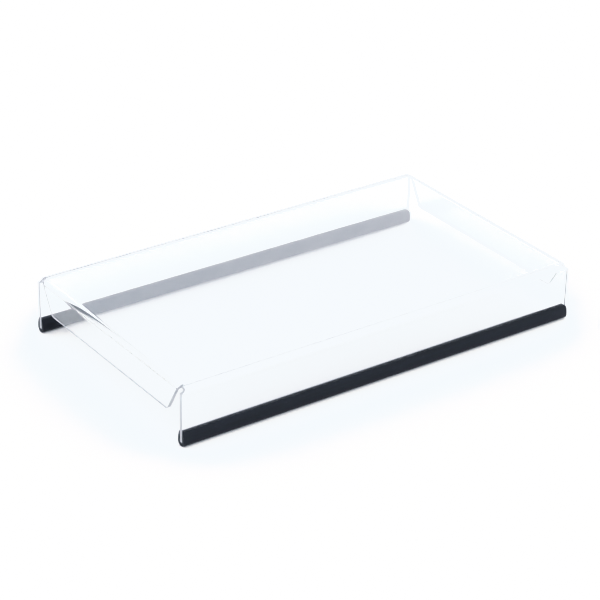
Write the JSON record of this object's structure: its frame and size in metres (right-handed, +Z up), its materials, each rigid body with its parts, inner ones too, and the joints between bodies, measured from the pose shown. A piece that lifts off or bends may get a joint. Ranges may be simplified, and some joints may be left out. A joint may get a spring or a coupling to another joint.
{
  "type": "letter tray",
  "caption": "Clear acrylic desk tray standing upside down like a low bridge: flat deck, two long side walls with black push-on edge strips, and a short slanted flap at each end.",
  "frame": {"origin": "middle of the footprint, on the surface that the two edge strips stand on", "axes": "+X along the side walls and the edge strips, +Y from the near wall to the far wall, +Z up"},
  "size_m": [0.5, 0.2956, 0.067],
  "materials": {
    "clear_acrylic": "clear, polished faces, satin cut edges",
    "black_rubber": "extruded, satin"
  },
  "bodies": {
    "root": {"acrylic_sheet": "clear_acrylic", "near_edge_strip": "black_rubber", "far_edge_strip": "black_rubber"}
  },
  "joints": []
}
